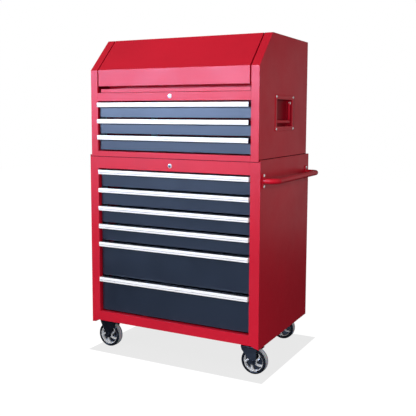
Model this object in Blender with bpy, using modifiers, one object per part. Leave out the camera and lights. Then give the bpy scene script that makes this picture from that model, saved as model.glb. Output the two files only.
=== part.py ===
"""Rolling tool chest: a six-drawer cabinet on four casters, with a three-drawer lidded chest nested on top.

Metres, +Z up. Everything is laid out in body coordinates (x from the middle of the cabinet, y back from its
front face, z up from the floor), under a root empty that puts the origin at the middle of the footprint.
"""

import math

import bmesh
import bpy
from mathutils import Matrix, Vector

# Driving dimensions
BODY_W = 0.925
BODY_D = 0.645
TOTAL_H = 1.566
SHEET = 0.0015
GAP = 0.0003

# Cabinet levels
FOOT_Z = 0.133          # lower edge of the side panels
RAIL_Z = 0.147          # lower edge of the front rail and the pan
CAB_OPEN = (0.1952, 0.927)
SEAM_Z = 0.986          # the chest stands here
RIM_Z = 0.994
OPEN_X = 0.414          # half width of both drawer openings
POST_FOOT_X = 0.424     # the corner posts' feet slope down outwards from here
CAB_RETURN = 0.025      # depth of the folded edges round the cabinet's opening

# Chest levels
CHEST_X = 0.4535        # half width over its sides
CHEST_BACK = 0.629
CHEST_OPEN = (1.0132, 1.2592)
BAND_TOP = 1.298
SEAM_GROOVE = (0.0345, 1.3025)  # back and upper corner of the groove between the lock band and the strip
STRIP_TOP = 1.3176      # the set-back strip between the lock band and the lid's lip
RAIN_Y = 0.090          # its upright behind the lip
LIP = (1.3314, 1.410)   # the lid's front lip
SLANT_Y = 0.151
CHEST_RETURN = 0.015
DECK_Z = 1.2695         # floor of the compartment under the lid

# Drawers
HEAD_GAP = 0.006        # above the top drawer of each opening
SMALL_PITCH = 0.0912
CHEST_PITCH = 0.080
CHEST_FACE_Y = 0.0135   # front of the drawer faces, which sit deeper in the cabinet
CAB_FACE_Y = 0.0195
FACE_X = 0.4085
BOX_X = 0.399
BOX_WALL = 0.0015
PULL_DEPTH = 0.029      # from the pull's nose to the drawer's face
PULL_PROUD = PULL_DEPTH - CHEST_FACE_Y
PULL_H = 0.021
PULL_X = 0.4093
SLIDE_H = 0.036         # outer channel
RAIL_H = 0.024          # inner member

# Casters
WHEEL_R = 0.0625
WHEEL_W = 0.038
RIM_R = 0.0506
CASTER_X = 0.390
CASTER_Y = 0.058
TRAIL = 0.031
PLATE_TOP = RAIL_Z - GAP

# Push handle, lift handles, locks
HANDLE_REACH = 0.0765
HANDLE_R = 0.0127
HANDLE_Z = 0.901
HANDLE_BEND = 0.034
HANDLE_Y = (0.034, 0.604)
POCKET_Y = (0.2105, 0.406)
POCKET_Z = (1.140, 1.267)
POCKET_DEPTH = 0.032
BAIL_Z = 1.252
BAIL_X = 0.442
CAB_LOCK_Z = 0.953
CHEST_LOCK_Z = 1.2803
LOCK_R = 0.008
CRANK = 0.014           # from the lock shaft to the crank's pin, which starts 45 degrees below level
LOCK_BAR_Y = (0.6085, 0.6115)

# Lid hinge and gas struts
HINGE = Vector((0.0, 0.6005, 1.5625))
STRUT_X = 0.398
STRUT_FOOT = Vector((0.0, 0.560, 1.305))
STRUT_HEAD = Vector((0.0, 0.534, 1.545))

for old in list(bpy.data.objects):
    bpy.data.objects.remove(old, do_unlink=True)

COLLECTIONS = {}
for group in ("tool_chest", "cutters"):
    COLLECTIONS[group] = bpy.data.collections.new(group)
    bpy.context.scene.collection.children.link(COLLECTIONS[group])

ROOT = bpy.data.objects.new("root", None)
ROOT.location = (-HANDLE_REACH / 2, -(BODY_D - PULL_PROUD) / 2, 0)
COLLECTIONS["tool_chest"].objects.link(ROOT)


def material(name, colour, roughness, metallic):
    shade = bpy.data.materials.new(name)
    shade.use_nodes = True
    surface = shade.node_tree.nodes["Principled BSDF"]
    surface.inputs["Base Color"].default_value = (*colour, 1)
    surface.inputs["Roughness"].default_value = roughness
    surface.inputs["Metallic"].default_value = metallic
    shade.diffuse_color = (*colour, 1)
    return shade


RED = material("red_powder_coat", (0.47, 0.008, 0.022), 0.35, 0.0)
NAVY = material("navy_powder_coat", (0.022, 0.034, 0.062), 0.4, 0.0)
ALUMINIUM = material("satin_aluminium", (0.82, 0.82, 0.83), 0.28, 1.0)
CHROME = material("chrome", (0.75, 0.76, 0.77), 0.12, 1.0)
ZINC = material("zinc_steel", (0.55, 0.55, 0.55), 0.35, 1.0)
BLACK = material("black_steel", (0.012, 0.013, 0.018), 0.3, 0.0)
TYRE = material("grey_tyre", (0.45, 0.46, 0.50), 0.5, 0.0)


# Shapes. Each is made in body coordinates and then moved onto its own origin.

def link(name, mesh, origin=(0, 0, 0), group="cutters"):
    obj = bpy.data.objects.new(name, mesh)
    COLLECTIONS[group].objects.link(obj)
    obj.parent = ROOT
    obj.location = origin
    if group == "cutters":
        obj.hide_render = True
        obj.display_type = "WIRE"
    return obj


def solid(name, bm, origin):
    bmesh.ops.translate(bm, verts=bm.verts, vec=-Vector(origin))
    mesh = bpy.data.meshes.new(name)
    bm.to_mesh(mesh)
    bm.free()
    return link(name, mesh, origin)


def box(name, x, y, z, origin=(0, 0, 0)):
    """A box between (low, high) pairs."""
    spans = (x, y, z)
    middle = Vector([(low + high) / 2 for low, high in spans])
    sides = Vector([high - low for low, high in spans])
    bm = bmesh.new()
    bmesh.ops.create_cube(bm, size=1, matrix=Matrix.Translation(middle) @ Matrix.Diagonal((*sides, 1)))
    return solid(name, bm, origin)


def bar(name, start, end, radius, segments=16, origin=(0, 0, 0)):
    """A round bar between two points."""
    start, end = Vector(start), Vector(end)
    turn = (end - start).to_track_quat("Z", "Y").to_matrix().to_4x4()
    bm = bmesh.new()
    bmesh.ops.create_cone(bm, cap_ends=True, segments=segments, radius1=radius, radius2=radius,
                          depth=(end - start).length, matrix=Matrix.Translation((start + end) / 2) @ turn)
    obj = solid(name, bm, origin)
    smooth(obj)
    return obj


def curve_mesh(name, curve, matrix, origin=(0, 0, 0)):
    """The evaluated curve as a welded mesh, placed by `matrix` in body coordinates."""
    guide = bpy.data.objects.new(name, curve)
    COLLECTIONS["cutters"].objects.link(guide)
    evaluated = guide.evaluated_get(bpy.context.evaluated_depsgraph_get())
    mesh = bpy.data.meshes.new_from_object(evaluated)
    bpy.data.objects.remove(guide)
    bm = bmesh.new()
    bm.from_mesh(mesh)
    bmesh.ops.remove_doubles(bm, verts=bm.verts, dist=0.00001)
    bmesh.ops.transform(bm, matrix=matrix, verts=bm.verts)
    return solid(name, bm, origin)


# Turns that lay a flat outline across x (points are y, z), across y (x, z) or across z (x, y)
ACROSS = {
    "x": Matrix(((0, 0, 1, 0), (1, 0, 0, 0), (0, 1, 0, 0), (0, 0, 0, 1))),
    "y": Matrix(((1, 0, 0, 0), (0, 0, -1, 0), (0, 1, 0, 0), (0, 0, 0, 1))),
    "z": Matrix.Identity(4),
}


def plate(name, points, span, across="x", origin=(0, 0, 0)):
    """A flat outline, thick between span[0] and span[1] along the axis it lies across."""
    curve = bpy.data.curves.new(name, "CURVE")
    curve.dimensions = "2D"
    curve.fill_mode = "BOTH"
    curve.extrude = (span[1] - span[0]) / 2
    spline = curve.splines.new("POLY")
    spline.points.add(len(points) - 1)
    for point, (u, v) in zip(spline.points, points):
        point.co = (u, v, 0, 1)
    spline.use_cyclic_u = True
    shift = [0, 0, 0]
    shift["xyz".index(across)] = (span[0] + span[1]) / 2
    return curve_mesh(name, curve, Matrix.Translation(shift) @ ACROSS[across], origin)


def folded(line, thickness=SHEET):
    """The outline of a folded strip: the open line and its copy moved to the left by `thickness`."""
    line = [Vector(point) for point in line]
    runs = [(b - a).normalized() for a, b in zip(line, line[1:])]
    lefts = [Vector((-run.y, run.x)) for run in runs]
    inner = [line[0] + lefts[0] * thickness]
    for corner, before, after in zip(line[1:], lefts, lefts[1:]):
        inner.append(corner + (before + after) * thickness / (1 + before.dot(after)))
    inner.append(line[-1] + lefts[-1] * thickness)
    return line + inner[::-1]


def tube(name, points, radius, resolution=3, origin=(0, 0, 0)):
    """A round tube through the points, capped."""
    curve = bpy.data.curves.new(name, "CURVE")
    curve.dimensions = "3D"
    curve.bevel_depth = radius
    curve.bevel_resolution = resolution
    curve.use_fill_caps = True
    spline = curve.splines.new("POLY")
    spline.points.add(len(points) - 1)
    for point, place in zip(spline.points, points):
        point.co = (*place, 1)
    obj = curve_mesh(name, curve, Matrix.Identity(4), origin)
    smooth(obj)
    return obj


def rounded_path(corners, radius, steps=5):
    """The corner points with each inner corner replaced by an arc."""
    corners = [Vector(c) for c in corners]
    path = [corners[0]]
    for before, corner, after in zip(corners, corners[1:], corners[2:]):
        back, ahead = (before - corner).normalized(), (after - corner).normalized()
        half = back.angle(ahead) / 2
        centre = corner + (back + ahead).normalized() * radius / math.sin(half)
        first = (corner + back * radius / math.tan(half) - centre).normalized()
        last = (corner + ahead * radius / math.tan(half) - centre).normalized()
        path += [centre + first.slerp(last, i / steps) * radius for i in range(steps + 1)]
    path.append(corners[-1])
    return path


def turned(name, profile, centre, steps=32):
    """A profile of (radius, offset along y) points turned about a line through `centre` along y."""
    mesh = bpy.data.meshes.new(name)
    edges = [(i, (i + 1) % len(profile)) for i in range(len(profile))]
    mesh.from_pydata([(r, 0, h) for r, h in profile], edges, [])
    obj = link(name, mesh, centre)
    obj.rotation_euler = (-math.pi / 2, 0, 0)
    spin = obj.modifiers.new("turn", "SCREW")
    spin.steps = steps
    spin.render_steps = steps
    spin.use_merge_vertices = True
    spin.merge_threshold = 0.00001
    spin.use_normal_calculate = True
    return obj


def smooth(obj):
    obj.data.shade_smooth()
    obj.data.set_sharp_from_angle(angle=math.radians(35))


def combine(obj, others, operation):
    for other in others:
        step = obj.modifiers.new(other.name, "BOOLEAN")
        step.operation = operation
        step.object = other
    return obj


def join(obj, *others):
    return combine(obj, others, "UNION")


def cut(obj, *others):
    return combine(obj, others, "DIFFERENCE")


def mirror(obj):
    """The half at +x completed about the middle of the body."""
    step = obj.modifiers.new("mirror", "MIRROR")
    step.use_bisect_axis[0] = True
    step.merge_threshold = 0.00005
    return obj


def part(obj, shade):
    """Takes a finished shape into the model."""
    COLLECTIONS["cutters"].objects.unlink(obj)
    COLLECTIONS["tool_chest"].objects.link(obj)
    obj.hide_render = False
    obj.display_type = "TEXTURED"
    obj.data.materials.clear()
    obj.data.materials.append(shade)
    return obj


# Cabinet: one wrapped shell, a top with the lock band, and a pan with the front rail.

def cabinet_shell():
    side, back = BODY_W / 2, BODY_D
    post_top = SEAM_Z - SHEET - GAP
    wrap = [(-0.01, back), (side, back), (side, 0), (OPEN_X, 0), (OPEN_X, CAB_RETURN)]
    shell = plate("cabinet_shell", folded(wrap[::-1]), (FOOT_Z, RIM_Z), "z")
    inside = side - SHEET
    corner = [(OPEN_X - 0.01, FOOT_Z - 0.01), (side, FOOT_Z - 0.01), (side, FOOT_Z),
              (POST_FOOT_X, RAIL_Z), (OPEN_X - 0.01, RAIL_Z)]
    cut(shell,
        box("post_top", (OPEN_X - 0.01, inside), (-0.01, CAB_RETURN + 0.01), (post_top, RIM_Z + 0.01)),
        plate("post_foot", corner, (-0.01, CAB_RETURN + 0.01), "y"),
        box("return_foot", (OPEN_X - 0.01, inside), (SHEET, CAB_RETURN + 0.01),
            (FOOT_Z - 0.01, RAIL_Z + 0.0023)))
    for name, level, depth, front in (("rim", RIM_Z - SHEET, 0.0085, 0.003),
                                      ("foot", FOOT_Z + 0.0005, 0.015, 0.006)):
        edge = side - SHEET / 2
        angle = [(edge, front), (edge, back - SHEET / 2), (-0.01, back - SHEET / 2), (-0.01, back - depth),
                 (side - depth, back - depth), (side - depth, front)]
        join(shell, plate(name, angle, (level, level + SHEET), "z"))
    return part(mirror(shell), RED)


def cabinet_top():
    inside = BODY_W / 2 - SHEET - GAP
    opening = OPEN_X - GAP
    top = box("cabinet_top", (-inside, inside), (0, BODY_D - SHEET - GAP), (SEAM_Z - SHEET, SEAM_Z))
    join(top,
         box("lock_band", (-opening, opening), (0, SHEET), (CAB_OPEN[1], SEAM_Z)),
         box("lock_band_return", (-opening, opening), (0, CAB_RETURN), (CAB_OPEN[1], CAB_OPEN[1] + SHEET)))
    cut(top, bar("cabinet_lock_hole", (0, -0.01, CAB_LOCK_Z), (0, 0.01, CAB_LOCK_Z), LOCK_R + 0.0012, 24))
    return part(top, RED)


def cabinet_base():
    inside = BODY_W / 2 - SHEET - GAP
    opening = OPEN_X - GAP
    base = box("cabinet_base", (-inside, inside), (SHEET + GAP, BODY_D - SHEET - GAP),
               (RAIL_Z, RAIL_Z + 0.002))
    join(base,
         box("rail_foot", (-opening, opening), (0, 0.004), (RAIL_Z, RAIL_Z + 0.002)),
         box("rail", (-opening, opening), (0, SHEET), (RAIL_Z, CAB_OPEN[0])),
         box("rail_return", (-opening, opening), (0, CAB_RETURN), (CAB_OPEN[0] - SHEET, CAB_OPEN[0])))
    return part(base, RED)


# Chest: sides with folded cheeks that follow the slope, a floor, a deck with the lock band, and the lid.

SLOPE = math.atan2(TOTAL_H - LIP[1], SLANT_Y)


def slope_corners(inset):
    """The two bends of the front, slope and top line, moved inwards by `inset`."""
    lower = (inset, LIP[1] - inset * math.tan((math.pi / 2 - SLOPE) / 2))
    upper = (SLANT_Y + inset * math.tan(SLOPE / 2), TOTAL_H - inset)
    return lower, upper


def section(inset, bottom, back):
    """The chest's side outline inside that line, down to `bottom` and back to `back`."""
    lower, upper = slope_corners(inset)
    return [(inset, bottom), lower, upper, (back, TOTAL_H - inset), (back, bottom)]


def chest_shell():
    foot = SEAM_Z + GAP
    shell = plate("chest_shell", section(0, foot, CHEST_BACK), (OPEN_X, CHEST_X))
    cut(shell,
        plate("cheek_inside", section(SHEET, foot - 0.1, CHEST_BACK + 0.1),
              (OPEN_X + SHEET, CHEST_X - SHEET)),
        plate("cheek_edge", section(CHEST_RETURN, foot - 0.1, CHEST_BACK + 0.1),
              (OPEN_X - 0.01, OPEN_X + 0.005)))
    join(shell,
         box("chest_back", (-0.01, CHEST_X - SHEET / 2), (CHEST_BACK - SHEET, CHEST_BACK), (foot, TOTAL_H)),
         box("chest_back_strip", (-0.01, OPEN_X + SHEET / 2), (HINGE.y + 0.0045, CHEST_BACK),
             (TOTAL_H - SHEET, TOTAL_H)))
    margin = SHEET + 2 * GAP
    cut(shell, box("pocket_hole", (CHEST_X - 0.01, CHEST_X + 0.01),
                   (POCKET_Y[0] - margin, POCKET_Y[1] + margin),
                   (POCKET_Z[0] - margin, POCKET_Z[1] + margin)))
    return part(mirror(shell), RED)


def chest_floor():
    foot = SEAM_Z + GAP
    inside = CHEST_X - SHEET - GAP
    opening = OPEN_X - GAP
    floor = box("chest_floor", (-inside, inside), (CHEST_RETURN + 0.001, CHEST_BACK - SHEET - GAP),
                (foot, foot + SHEET))
    join(floor,
         box("chest_floor_front", (-opening, opening), (0, 0.02), (foot, foot + SHEET)),
         box("chest_rail", (-opening, opening), (0, SHEET), (foot, CHEST_OPEN[0])),
         box("chest_rail_return", (-opening, opening), (0, CHEST_RETURN),
             (CHEST_OPEN[0] - SHEET, CHEST_OPEN[0])))
    return part(floor, RED)


def strut_bracket(name, x):
    """A standing tab and the round stud that carries a gas strut's lower eye."""
    outward = math.copysign(1, x)
    tab = box(name, tuple(sorted((x + outward * 0.0112, x + outward * 0.0127))),
              (STRUT_FOOT.y - 0.014, STRUT_FOOT.y + 0.014), (DECK_Z, STRUT_FOOT.z + 0.010))
    stud = bar(name + "_stud", (x - outward * 0.003, STRUT_FOOT.y, STRUT_FOOT.z),
               (x + outward * 0.012, STRUT_FOOT.y, STRUT_FOOT.z), 0.0035, 12)
    return tab, stud


def chest_deck():
    inside = CHEST_X - SHEET - GAP
    opening = OPEN_X - GAP
    set_back, strip_x = 0.0172, 0.404
    deck = box("chest_deck", (-inside, inside), (CHEST_RETURN + 0.001, CHEST_BACK - SHEET - GAP),
               (DECK_Z, DECK_Z + SHEET))
    groove, seam = SEAM_GROOVE
    fold = [(groove, BAND_TOP), (0, BAND_TOP), (0, CHEST_OPEN[1]), (CHEST_RETURN, CHEST_OPEN[1])]
    strip = [(groove, BAND_TOP - SHEET / 2), (groove, seam), (set_back, seam), (set_back, STRIP_TOP - SHEET),
             (RAIN_Y, STRIP_TOP - SHEET), (RAIN_Y, LIP[0] + 0.015)]
    join(deck,
         plate("strip", folded(strip), (-strip_x, strip_x)),
         plate("chest_band", folded(fold), (-opening, opening)),
         box("deck_front", (-opening, opening), (SHEET / 2, 0.02), (DECK_Z, DECK_Z + SHEET)),
         *strut_bracket("strut_bracket_left", -STRUT_X),
         *strut_bracket("strut_bracket_right", STRUT_X))
    cut(deck, bar("chest_lock_hole", (0, -0.01, CHEST_LOCK_Z), (0, 0.01, CHEST_LOCK_Z), LOCK_R + 0.0012, 24))
    return part(deck, RED)


# Lid: a folded tray open below, with every other hinge knuckle and the two strut studs.

KNUCKLES = 7
KNUCKLE_R = 0.0032
PIN_R = 0.0018
HINGE_HALF = 0.390
LID_X = 0.407
LID_BACK = HINGE.y - 0.0035


def knuckle_spans(first):
    pitch = 2 * HINGE_HALF / KNUCKLES
    return [(-HINGE_HALF + i * pitch + GAP, -HINGE_HALF + (i + 1) * pitch - GAP)
            for i in range(first, KNUCKLES, 2)]


def along_hinge(name, span, radius, segments=10, origin=(0, 0, 0)):
    return bar(name, (span[0], HINGE.y, HINGE.z), (span[1], HINGE.y, HINGE.z), radius, segments, origin)


def lid():
    folded = 0.018
    tray = plate("lid", section(0, LIP[0], LID_BACK), (-LID_X, LID_X), origin=HINGE)
    cut(tray,
        plate("lid_inside", section(SHEET, LIP[0] - 0.1, LID_BACK - SHEET), (SHEET - LID_X, LID_X - SHEET)),
        plate("lid_edge", section(folded, LIP[0] - 0.1, LID_BACK + 0.1), (-LID_X - 0.1, LID_X + 0.1)))
    join(tray, box("lip_hem", (-LID_X, LID_X), (0, 0.012), (LIP[0], LIP[0] + SHEET)))
    for i, span in enumerate(knuckle_spans(1)):
        join(tray, along_hinge(f"lid_knuckle_{i}", span, KNUCKLE_R),
             box(f"lid_leaf_{i}", span, (LID_BACK - SHEET, HINGE.y - 0.0026),
                 (HINGE.z - 0.0012, HINGE.z + 0.0012)))
    cut(tray, along_hinge("pin_bore", (-0.45, 0.45), PIN_R + GAP))
    for side in (-1, 1):
        inner, outer = side * (STRUT_X + 0.0045), side * (LID_X - SHEET / 2)
        join(tray, bar(f"lid_stud_{side}", (inner, STRUT_HEAD.y, STRUT_HEAD.z),
                       (outer, STRUT_HEAD.y, STRUT_HEAD.z), 0.0035, 12),
             box(f"lid_stud_plate_{side}", tuple(sorted((outer, side * (LID_X - 0.004)))),
                 (STRUT_HEAD.y - 0.012, STRUT_HEAD.y + 0.012), (STRUT_HEAD.z - 0.012, STRUT_HEAD.z + 0.010)))
    return part(tray, RED)


def lid_hinge():
    leaf = box("lid_hinge", (-HINGE_HALF, HINGE_HALF), (HINGE.y + 0.0046, CHEST_BACK - 0.004),
               (TOTAL_H - SHEET - GAP - 0.0015, TOTAL_H - SHEET - GAP))
    join(leaf, along_hinge("hinge_pin", (-HINGE_HALF, HINGE_HALF), PIN_R))
    for i, span in enumerate(knuckle_spans(0)):
        join(leaf, along_hinge(f"knuckle_{i}", span, KNUCKLE_R),
             box(f"knuckle_leaf_{i}", span, (HINGE.y + 0.0020, HINGE.y + 0.006),
                 (HINGE.z + 0.0002, HINGE.z + 0.0017)))
    return part(leaf, ZINC)


# Gas struts: a cylinder on the deck's stud and a rod under the lid's stud.

def strut(side, x):
    axis = (STRUT_HEAD - STRUT_FOOT).normalized()
    shift = Vector((x, 0, 0))
    foot, head = STRUT_FOOT + shift, STRUT_HEAD + shift
    outward = Vector((math.copysign(1, x), 0, 0))
    mouth = foot + axis * 0.150
    cylinder = bar(f"lid_strut_{side}_cylinder", foot + axis * 0.012, mouth, 0.008, 16, foot)
    join(cylinder, bar(f"{side}_foot_eye", foot - outward * 0.004, foot + outward * 0.004, 0.0085, 16, foot),
         bar(f"{side}_foot_neck", foot + axis * 0.005, foot + axis * 0.02, 0.005, 12, foot))
    cut(cylinder, bar(f"{side}_foot_hole", foot - outward * 0.02, foot + outward * 0.02, 0.0039, 12, foot),
        bar(f"{side}_bore", foot + axis * 0.05, mouth + axis * 0.02, 0.0044, 16, foot))
    rod = bar(f"lid_strut_{side}_rod", foot + axis * 0.062, head, 0.004, 12, foot)
    join(rod, bar(f"{side}_head_eye", head - outward * 0.0045, head + outward * 0.0038, 0.0080, 16, foot))
    return part(cylinder, BLACK), part(rod, CHROME)


# Drawers: a folded face, a box behind it and the inner members of its slides, with an aluminium pull on top.

def slide_level(slot):
    return slot[0] + 0.028


def drawer(name, slot, face_y, box_back):
    low, high = slot[0] + 0.0064, slot[1] - 0.004
    origin = (0, face_y, slot[0])
    front = face_y + 0.0125
    face = box(name, (-FACE_X, FACE_X), (face_y, front + BOX_WALL), (low, high), origin)
    cut(face, box(name + "_face_inside", (SHEET - FACE_X, FACE_X - SHEET), (face_y + SHEET, front + 0.02),
                  (low + SHEET, high - SHEET)))
    floor, brim = slot[0] + 0.0105, slot[1] - 0.016
    join(face,
         box(name + "_web", (-BOX_X, BOX_X), (front, front + BOX_WALL), (low + SHEET / 2, high - SHEET / 2)),
         box(name + "_box", (-BOX_X, BOX_X), (front + BOX_WALL / 2, box_back), (floor, brim)))
    cut(face, box(name + "_hollow", (BOX_WALL - BOX_X, BOX_X - BOX_WALL),
                  (front + BOX_WALL, box_back - BOX_WALL), (floor + BOX_WALL, slot[1])))
    level = slide_level(slot)
    for side in (-1, 1):
        rail = tuple(sorted((side * (BOX_X - 0.0005), side * (BOX_X + 0.0085))))
        join(face, box(f"{name}_rail_{side}", rail, (0.038, box_back - 0.010),
                       (level - RAIL_H / 2, level + RAIL_H / 2)))
    return part(face, NAVY)


def pull(name, slot, face_y):
    """A full-width hooked section over the face's top edge: outer skin, finger gap, inner leg."""
    top = slot[1] - 0.001
    wall, nose, radius, bead = 0.0022, face_y - PULL_DEPTH, 0.006, 0.0012
    foot, leg, tail = top - PULL_H, face_y - 0.0005, face_y + 0.012
    shoulder = [(nose + radius * (1 - math.sin(a)), top - radius * (1 - math.cos(a)))
                for a in (0, math.pi / 8, math.pi / 4, 3 * math.pi / 8, math.pi / 2)]
    outline = [(tail, top), *shoulder, (nose, foot + 0.001), (nose + 0.001, foot),
               (nose + wall + bead, foot), (nose + wall + bead, foot + 0.003), (nose + wall, foot + 0.004),
               (nose + wall, top - radius), (nose + radius, top - wall), (leg - wall, top - wall),
               (leg - wall, foot + 0.003), (leg, foot + 0.003), (leg, top - wall), (tail, top - wall)]
    return part(plate(name, outline, (-PULL_X, PULL_X), origin=(0, face_y, slot[0])), ALUMINIUM)


def slots(opening, heights):
    """Drawer slots from the top down."""
    top, found = opening[1] - HEAD_GAP, []
    for height in heights:
        found.append((top - height, top))
        top -= height
    return found


def slide_rack(name, side, drawer_slots, back, uprights):
    """The outer channels of one side's slides on two uprights."""
    def span(near, far):
        return tuple(sorted((side * near, side * far)))

    height = (drawer_slots[-1][0] + 0.004, drawer_slots[0][1] - 0.004)

    def upright(label, y):
        web = box(label, span(OPEN_X - 0.0008, OPEN_X + 0.002), (y, y + 0.03), height)
        return join(web, box(label + "_flange", span(OPEN_X, OPEN_X + 0.022), (y, y + 0.002), height))

    front, rear = uprights
    rack = join(upright(name, front), upright(name + "_rear", rear))
    for i, slot in enumerate(drawer_slots):
        level = slide_level(slot)
        mouth, web = BOX_X + 0.003, OPEN_X - GAP
        channel = [(mouth, level - SLIDE_H / 2), (web, level - SLIDE_H / 2),
                   (web, level + SLIDE_H / 2), (mouth, level + SLIDE_H / 2)]
        outline = [(side * x, z) for x, z in folded(channel)]
        join(rack, plate(f"{name}_channel_{i}", outline, (0.036, back), "y"))
    return part(rack, ZINC)


# Locks

def lock_plug(name, z, tail_end):
    plug = bar(name, (0, -0.004, z), (0, 0.028, z), LOCK_R, 24, (0, 0, z))
    cut(plug, box(name + "_keyway", (-0.0009, 0.0009), (-0.01, 0.002), (z - 0.0042, z + 0.0042)))
    join(plug, bar(name + "_tail", (0, 0.02, z), (0, tail_end, z), 0.003, 12, (0, 0, z)))
    return plug


def lock_bezel(name, z):
    ring = bar(name, (0, -0.0028, z), (0, -GAP, z), LOCK_R + 0.0034, 32, (0, 0, z))
    cut(ring, bar(name + "_bore", (0, -0.02, z), (0, 0.02, z), LOCK_R + GAP, 32, (0, 0, z)))
    return part(ring, CHROME)


def cabinet_lock():
    """The plug, its long shaft to the back and the crank whose pin lifts the lock bar."""
    z, front = CAB_LOCK_Z, LOCK_BAR_Y[0] - 0.0055
    plug = lock_plug("cabinet_lock", z, front + 0.003)
    reach = CRANK * math.sqrt(0.5)
    pin = Vector((reach, front, z - reach))
    join(plug, plate("crank", [(-0.004, z - 0.004), (reach - 0.003, z - reach - 0.005),
                               (reach + 0.005, z - reach + 0.003), (0.004, z + 0.004)],
                     (front, front + 0.0035), "y"),
         bar("crank_pin", pin + Vector((0, 0.001, 0)), pin + Vector((0, 0.011, 0)), 0.0025, 12))
    return part(plug, CHROME)


def cabinet_lock_bar(drawer_slots):
    """The upright bar behind the drawers, slotted for the crank pin, with a hook for each drawer."""
    pin_z = CAB_LOCK_Z - CRANK * math.sqrt(0.5)
    low, high = drawer_slots[-1][0] + 0.02, CAB_LOCK_Z + 0.004
    middle = (LOCK_BAR_Y[0] + LOCK_BAR_Y[1]) / 2
    upright = box("cabinet_lock_bar", (0.002, 0.024), LOCK_BAR_Y, (low, high), (0.013, middle, pin_z))
    for i, slot in enumerate(drawer_slots):
        hook = (slot[1] - 0.052, slot[1] - 0.049)
        join(upright, box(f"hook_{i}", (0.005, 0.021), (LOCK_BAR_Y[0] - 0.0125, middle), hook))
    cut(upright, box("pin_slot", (0.0062, 0.0178), (0.59, 0.63), (pin_z - 0.0036, pin_z + 0.0036)))
    return part(upright, ZINC)


def chest_lock():
    plug = lock_plug("chest_lock", CHEST_LOCK_Z, 0.042)
    join(plug, box("cam", (-0.005, 0.026), (0.0365, 0.0395), (CHEST_LOCK_Z - 0.005, CHEST_LOCK_Z + 0.005)))
    return part(plug, CHROME)


# Handles

def push_handle():
    start = BODY_W / 2 + GAP
    reach = BODY_W / 2 + HANDLE_REACH - HANDLE_R
    near, far = HANDLE_Y
    corners = [(start + 0.002, near, HANDLE_Z), (reach, near, HANDLE_Z),
               (reach, far, HANDLE_Z), (start + 0.002, far, HANDLE_Z)]
    grip = tube("push_handle", rounded_path(corners, HANDLE_BEND, 7), HANDLE_R)
    for y in HANDLE_Y:
        join(grip, box(f"handle_flange_{y:.3f}", (start, start + 0.004), (y - 0.018, y + 0.018),
                       (HANDLE_Z - 0.034, HANDLE_Z + 0.034)))
    return part(grip, RED)


def lift_pocket(side, sign):
    """The recessed dish behind a lift handle, with its flange on the chest's side."""
    def span(near, far):
        return tuple(sorted((sign * near, sign * far)))

    face = CHEST_X + GAP
    name = f"lift_pocket_{side}"
    deep = CHEST_X - POCKET_DEPTH
    dish = box(name, span(face, face + SHEET), (0.184, 0.440), (1.118, 1.289))
    join(dish, box(name + "_wall", span(deep - SHEET, face + SHEET),
                   (POCKET_Y[0] - SHEET, POCKET_Y[1] + SHEET), (POCKET_Z[0] - SHEET, POCKET_Z[1] + SHEET)))
    cut(dish, box(name + "_hollow", span(deep, face + 0.05), POCKET_Y, POCKET_Z))
    return part(dish, RED)


def lift_handle(side, sign):
    """A swinging bail: two pivot ends, two arms and a round grip."""
    x = sign * BAIL_X
    low = POCKET_Z[0] + 0.022
    near, far = POCKET_Y[0] + 0.008, POCKET_Y[1] - 0.008
    pivot = (x, (near + far) / 2, BAIL_Z)
    corners = [(x, POCKET_Y[0] + GAP, BAIL_Z), (x, near, BAIL_Z), (x, near, low),
               (x, far, low), (x, far, BAIL_Z), (x, POCKET_Y[1] - GAP, BAIL_Z)]
    bail = tube(f"lift_handle_{side}", rounded_path(corners, 0.006, 3), 0.004, 2, pivot)
    join(bail, bar(f"lift_grip_{side}", (x, near + 0.001, low), (x, far - 0.001, low), 0.009, 20, pivot))
    return part(bail, RED)


# Casters

def arc(centre, radius, start, stop, steps):
    return [(centre[0] + radius * math.cos(start + (stop - start) * i / steps),
             centre[1] + radius * math.sin(start + (stop - start) * i / steps)) for i in range(steps + 1)]


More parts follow.
